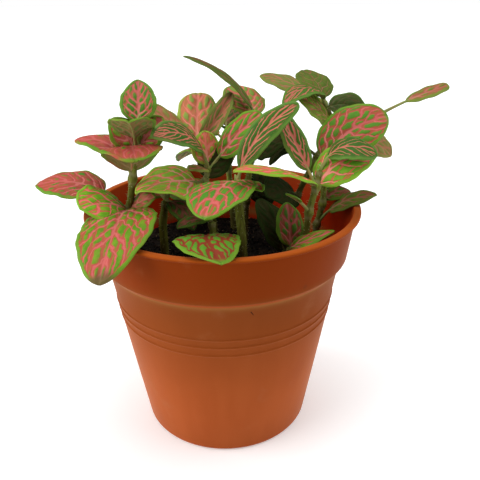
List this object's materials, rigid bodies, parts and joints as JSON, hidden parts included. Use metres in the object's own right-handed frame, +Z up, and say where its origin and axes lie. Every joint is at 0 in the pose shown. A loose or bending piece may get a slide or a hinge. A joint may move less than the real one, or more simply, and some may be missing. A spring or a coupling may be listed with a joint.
{
  "type": "potted nerve plant",
  "caption": "Nerve plant in a round terracotta-coloured plastic nursery pot: upright leafy stems with oval, pink-veined green leaves, rooted in dark potting mix.",
  "frame": {"origin": "middle of the pot's base, on the surface the pot stands on", "axes": "+Z up along the pot's axis; -Y towards the side seen in the picture; +X to that viewer's right"},
  "size_m": [0.1812, 0.1312, 0.1654],
  "materials": {
    "pot_plastic": "matte moulded plastic, terracotta colour",
    "potting_mix": "damp dark peat, rough",
    "leaf": "satin green leaf with pink veins, faintly hairy stem"
  },
  "bodies": {
    "root": {"pot": "pot_plastic", "potting_mix": "potting_mix", "leafy_stem_left": "leaf", "leafy_stem_left_inner": "leaf", "leafy_stem_centre_left": "leaf", "leafy_stem_front_low": "leaf", "leafy_stem_front": "leaf", "leafy_stem_front_inner": "leaf", "leafy_stem_right_front": "leaf", "leafy_stem_right": "leaf", "leafy_stem_back_right": "leaf", "leafy_stem_far_right": "leaf", "leafy_stem_centre": "leaf", "leafy_stem_back": "leaf"}
  },
  "joints": []
}
